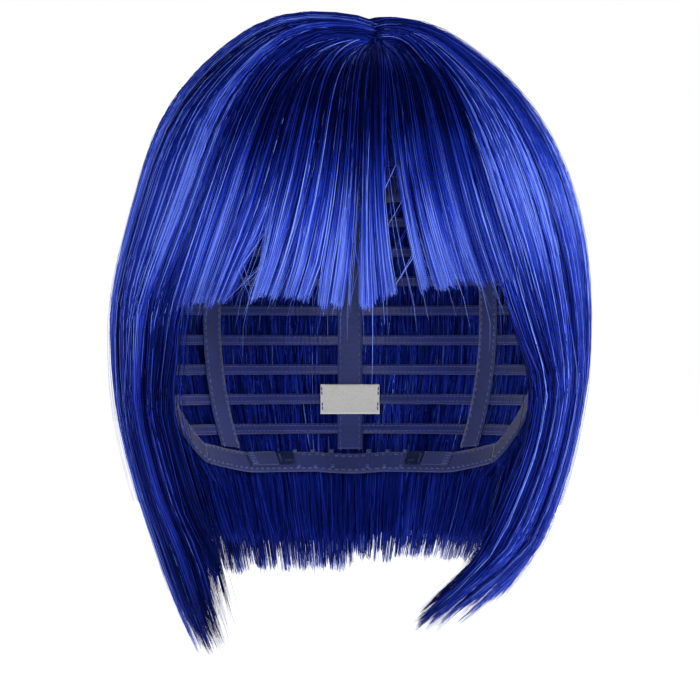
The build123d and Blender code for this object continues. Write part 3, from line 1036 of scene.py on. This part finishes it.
def make_label():
    """The blank satin label, sewn down at its four corners."""
    across = np.linspace(-0.012, 0.012, 41)[:, None]
    height = np.linspace(-0.040, -0.028, 21)[None, :]
    size = HEAD + 0.0008
    across, height = np.broadcast_arrays(across, height)
    depth = size[1] * np.sqrt(1 - (across / size[0]) ** 2 - (height / size[2]) ** 2)
    grid = np.stack([across, depth, height], -1)
    hem = 0.00012 * (np.abs(across) < 0.0108)
    weave = rng.normal(0, 0.00001, across.shape)
    label = cloth("blank_label", grid, LABEL_LAYER, satin, "label", hem, weave)
    ride(label, "size_label")
    for x in (-0.0114, 0.0114):
        for z in (-0.0385, -0.0365, -0.0315, -0.0295):
            place = snap(np.array([[x, size[1] * 0.93, z]]), 0.0003)
            cap_stitches.add(place, np.array([[0.0, 0.0, 1.0]]), unit(place / HEAD**2))


def make_nape_hair():
    """The under-layer that hangs from the nape band."""
    count = 1500
    angle = np.radians(rng.uniform(38, 142, count))
    deep = rng.uniform(0.15, 0.85, count)
    half = np.array([0.084, 0.0995]) * (1 - deep[:, None]) + np.array([0.080, 0.096]) * deep[:, None]
    end = -0.0885 + rng.normal(0, 0.0014, count) - rng.exponential(0.0008, count)
    share = np.linspace(0, 1, 9)
    height = -0.062 + (end[:, None] + 0.062) * share
    angle = angle[:, None] + rng.normal(0, 0.02, (count, 1)) * share**1.4
    wide = np.sqrt(1 - (height / (0.147 - 0.011 * deep[:, None])) ** 2)
    points = level_points(half[:, :1], half[:, 1:], angle, wide, height)
    outward = unit(points / np.array([0.084, 0.0995, 0.147]) ** 2)
    tone = 0.22 + rng.normal(0, 0.14, count)
    hair = strands("nape_strands", [(points, outward, tone, np.full(count, 0.00023))], fibre)
    ride(hair, "nape_hair")


# ---- floor, light and camera
LIGHTS = (
    # name, place, size, power
    ("key_light", (-0.20, -1.75, -0.10), 0.55, 26),
    ("fill_light", (0.95, -1.4, 0.0), 0.6, 21),
    ("back_light", (0.4, 1.7, 0.0), 1.2, 12),
)


def add_object(name, data, place):
    """A light or camera, put into the scene."""
    thing = bpy.data.objects.new(name, data)
    bpy.context.scene.collection.objects.link(thing)
    thing.location = place
    return thing


def make_floor():
    """A white floor just under the wig."""
    bpy.ops.mesh.primitive_plane_add(size=12, location=(0, 0, cad_low.z - 0.0004))
    floor = bpy.context.object
    floor.name = "studio_floor"
    nodes = Nodes("studio_paint")
    nodes.paint(nodes.noise(3, 2), [(0.3, (0.95, 0.95, 0.95)), (0.7, (0.98, 0.98, 0.98))])
    nodes.set("Roughness", 0.9)
    nodes.set("Emission Color", (1, 1, 1, 1))
    nodes.set("Emission Strength", 0.9)
    floor.data.materials.append(nodes.material)


def make_sky():
    """A studio that is white low down and dark above."""
    world = bpy.data.worlds.new("studio")
    bpy.context.scene.world = world
    world.use_nodes = True
    sky = world.node_tree
    background = sky.nodes["Background"]
    direction = sky.nodes.new("ShaderNodeTexCoord")
    split = sky.nodes.new("ShaderNodeSeparateXYZ")
    ramp = sky.nodes.new("ShaderNodeValToRGB")
    sky.links.new(direction.outputs["Generated"], split.inputs[0])
    sky.links.new(split.outputs["Z"], ramp.inputs["Fac"])
    sky.links.new(ramp.outputs["Color"], background.inputs["Color"])
    for element, place, grey in zip(ramp.color_ramp.elements, (0.12, 0.28), (1, 0.12)):
        element.position = place
        element.color = (grey, grey, grey, 1)
    background.inputs["Strength"].default_value = 1.0


def make_lights_and_camera():
    bpy.context.scene.view_settings.view_transform = "Standard"
    for name, place, size, power in LIGHTS:
        data = bpy.data.lights.new(name, "AREA")
        data.size = size
        data.energy = power
        lamp = add_object(name, data, place)
        lamp.rotation_euler = (-Vector(place)).to_track_quat("-Z", "Y").to_euler()
    data = bpy.data.cameras.new("camera")
    data.sensor_width = 36
    data.lens = 240
    data.clip_start = 0.05
    camera = add_object("camera", data, (0, -1.8, -0.014))
    camera.rotation_euler = (radians(90), 0, 0)
    bpy.context.scene.camera = camera


make_floor()
make_sky()
make_lights_and_camera()


# ---- the fringe
# The gaps that show between locks of the fringe: ring angle, half width at the hem, both in
# degrees, and the height where the gap begins.
FRINGE_GAPS = [
    (-75.0, 3.4, 0.100), (-69.0, 1.1, 0.060), (-89.5, 1.1, 0.095), (-117.0, 3.3, 0.040),
    (-99, 1.2, 0.018), (-91, 0.6, 0.016), (-107, 0.5, 0.030), (-60, 0.5, 0.035),
]
# The height of the fringe's cut ends by ring angle.
FRINGE_HEM = [
    (-134, 0.001), (-124, 0.0040), (-104, 0.0052), (-98, 0.0034), (-92, 0.0022), (-86, 0.0030),
    (-82, 0.0060), (-76, 0.0080), (-62, 0.0105), (-46, 0.0115),
]
# The tone that the fringe's hairs gain or lose at each height, as painted light: painted shade over
# the forehead's top, a painted highlight lower down.
FRINGE_SHEEN = [
    (0.112, -0.06), (0.101, -0.18), (0.088, -0.55), (0.075, -0.57), (0.064, -0.46),
    (0.053, -0.28), (0.042, -0.07), (0.0315, 0.07), (0.0206, 0.17), (0.005, 0.17),
]
FRINGE_FROM = -132.5
FRINGE_TO = -47.5


def fringe_layer(count, depth, steps, strays, tone, gather):
    """One layer of the fringe: points, outward, tone and width for strands()."""
    total = count + strays
    angle, lock, number, off_middle = deal(total, FRINGE_FROM, FRINGE_TO, 3.2)
    across = (angle - FRINGE_FROM) / (FRINGE_TO - FRINGE_FROM) * 2 - 1
    back_along = np.abs(across) ** 1.6 * rng.uniform(0.25, 1.0, total) * 0.45
    plan = PART_FRONT + back_along[:, None] * (PART_BACK - PART_FRONT)
    plan[:, 0] += rng.normal(0, 0.0012, total)
    plan[:, 1] += rng.normal(0, 0.0015, total)
    root = unit_above(plan)
    hem = table(FRINGE_HEM, angle) + lock_noise(number, 0.0011)[lock]
    hem += rng.normal(0, 0.0008, total)
    loose = loose_share(count, strays)
    hem -= loose * rng.exponential(0.010, total)
    end = along_path(hem)
    t = end[:, None] * step_places(total, steps, 1.15)
    own_depth = depth + lock_noise(number, 0.05)[lock] + rng.normal(0, 0.05, total)
    deep = own_depth[:, None] + 0.50 * (1 - smooth(0.0, 0.55, t)) - loose[:, None] * 0.3 * t**2
    deep = np.clip(deep, -0.3, 1.0)
    stray = 0.2 + 0.5 * LOOSE_DRIFT * loose
    locks = lock_shift(total, lock, number, off_middle, gather, 0.35, stray)

    def shift(t, height):
        turn = np.degrees(locks(t, height))
        for middle, half, top in FRINGE_GAPS:
            off = angle[:, None] + turn - middle
            opening = 1 - smooth(0.004, top, height)
            push = np.where(off < 0, -1, 1) * half * np.exp(-np.abs(off) / 3.5) * opening
            turn[:count] += push[:count]
        return np.radians(turn + fanned(angle - STRAIGHT_ANGLE, t))

    ring = np.radians(angle)
    points, outward = hair_paths(root, ring, t, deep, CUTS["left"]["closing"], shift)
    tones = strand_tones(tone, number, lock, loose)
    height = points[..., 2]
    # Painted light: shade and highlight by height, and painted shade on the fringe's outer ends
    # lower down.
    tones = tones[:, None] + eased(FRINGE_SHEEN, height)
    tones -= 0.26 * smooth(0.55, 0.9, np.abs(across))[:, None] * smooth(-0.048, -0.020, -height)
    return points, outward, tones, hair_widths(total, loose)


# ---- assembly
def hang(body, piece, *nodes):
    """The piece's placing is baked into its points, and it stands for these solids; body is not
    used.
    """
    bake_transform(piece)
    if nodes:
        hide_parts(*nodes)


CROWN_NODES = [f"crown_hair_{side}_{end}" for side, _ in SIDES for end in ("front", "back")]
# A deeper layer has a lower tone: painted shade under the outer hair.
LAYERS = (
    # name, count, depth, start height, cut back, strays, tone, gather, steps
    ("a", 2050, 0.10, None, 0.0, 80, 0.43, 0.26, 24),
    ("b", 1900, 0.34, None, 0.001, 15, 0.32, 0.24, 24),
    ("c", 1500, 0.58, 0.088, 0.004, 0, 0.24, 0.20, 16),
    ("d", 1500, 0.88, 0.060, 0.007, 0, 0.20, 0.20, 14),
)
# A deeper layer has a lower tone: painted shade under the outer hair.
FRINGE_LAYERS = (
    # name, count, depth, strays, tone, gather
    ("a", 1700, 0.05, 80, 0.46, 0.26),
    ("b", 1350, 0.26, 30, 0.36, 0.26),
    ("c", 900, 0.48, 0, 0.24, 0.22),
)
FRINGE_STEPS = 18
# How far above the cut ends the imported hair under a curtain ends, and its end under the fringe.
PACKED_ABOVE_HEM = 0.013
PACKED_FRINGE_END = 0.056


def packed_hair(name, side, low, high, end, columns, rows):
    """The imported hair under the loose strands: a closed ridged sheet, down to end or the hem."""
    cut = CUTS[side]
    angle = np.linspace(low, high, columns)
    end = table(cut["hem"], angle) + PACKED_ABOVE_HEM if end is None else np.full(columns, end)
    root = unit_above(part_roots(cut, angle))
    t = 0.03 + (along_path(end) - 0.03)[:, None] * np.linspace(0, 1, rows)
    edge_swing, _ = front_swing(cut, angle)

    def shift(t, height):
        return np.radians(edge_swing(t, height))

    ridge = rng.normal(0, 0.05, columns)[:, None] + 0.25 * (1 - smooth(0, 0.12, t))
    grids = []
    for depth in (0.68, 0.78):
        deep = np.clip(depth + ridge, 0, 1)
        ring = np.radians(angle)
        points, _ = hair_paths(root, ring, t, deep, cut["closing"], shift, cut["slimmer"])
        points[..., 0] *= cut["mirror"]
        grids.append(points)
    return slab(name, grids[1], grids[0], under)


def make_curtains(side):
    """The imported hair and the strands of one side, and of that side's half of the back."""
    front = CUTS[side]["edge_from"]
    for body, name, *shape in (
        # body, name, angles, end height, columns, rows
        (f"side_{side}", "side", front + 4, BACK_FROM, None, 150, 40),
        ("back", "back", BACK_FROM, 91, None, 90, 40),
        ("fringe", "fringe", -91, front + 4, PACKED_FRINGE_END, 80, 20),
    ):
        hang(body, packed_hair(f"packed_{name}_{side}", side, *shape))
    for name, count, depth, start_height, cut_back, strays, tone, gather, steps in LAYERS:
        start = front + EDGE_LAYERING * depth
        for part, low, high, share, body, node in (
            # name, angles, share of the hairs, body, solid
            ("side", start, BACK_FROM, 0.64, f"side_{side}", f"side_hair_{side}"),
            ("back", BACK_FROM, 90.5, 0.36, "back", "back_hair"),
        ):
            group = hair_layer(side, low, high, int(count * share), depth, steps, start_height,
                               gather, cut_back, int(strays * share), tone)
            hang(body, strands(f"hair_{part}_{side}_{name}", [group], fibre), node)


def make_fringe():
    for name, count, depth, strays, tone, gather in FRINGE_LAYERS:
        group = fringe_layer(count, depth, FRINGE_STEPS, strays, tone, gather)
        hang("fringe", strands(f"hair_fringe_{name}", [group], fibre), "fringe_hair", *CROWN_NODES)


for side, _ in SIDES:
    make_curtains(side)
make_fringe()
make_top()
make_bands()
make_ribbons()
make_wefts()
make_tabs()
make_adjusters()
make_label()
make_nape_hair()
ride(cap_stitches.piece("cap_stitches", thread, "band"))
for side, _ in SIDES:
    for node, material in (("adjuster_hook", hook_plastic), ("ear_stay", stay_plastic)):
        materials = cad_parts[f"{node}_{side}"].data.materials
        materials.clear()
        materials.append(material)
